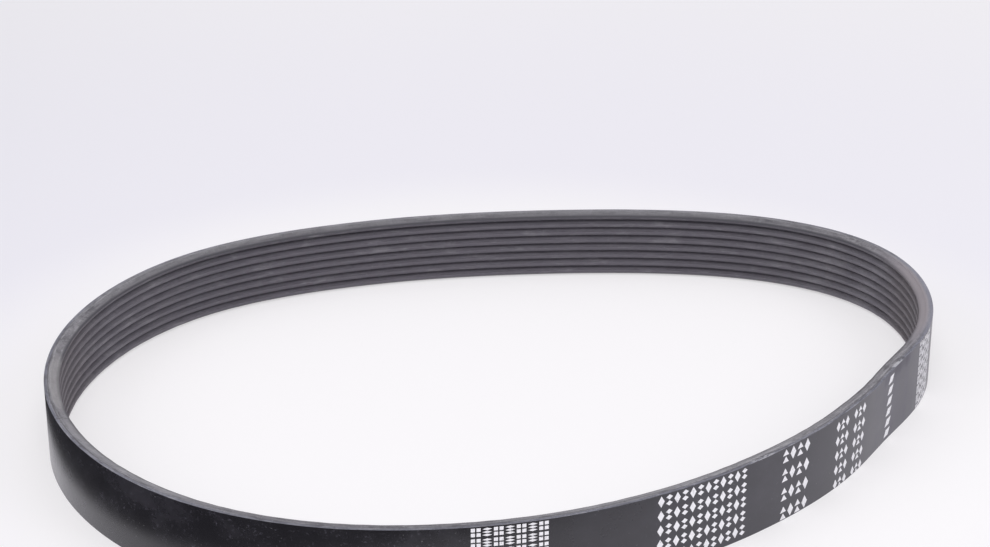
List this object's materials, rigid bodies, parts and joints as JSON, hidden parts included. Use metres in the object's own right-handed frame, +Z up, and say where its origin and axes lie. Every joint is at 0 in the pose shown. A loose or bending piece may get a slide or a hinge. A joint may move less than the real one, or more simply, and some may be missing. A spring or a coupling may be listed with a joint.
{
  "type": "serpentine belt",
  "caption": "Endless ribbed drive belt with a flat smooth back and V ribs round its inside, standing on its cut edge in a relaxed uneven loop.",
  "frame": {"origin": "under the middle of the loop's box, on the surface that the belt stands on", "axes": "+Z up across the belt's width, +X along the loop's long side towards its tighter end"},
  "size_m": [0.3364, 0.274, 0.0285],
  "materials": {
    "belt_rubber": "satin"
  },
  "bodies": {
    "root": {"belt": "belt_rubber"}
  },
  "joints": []
}
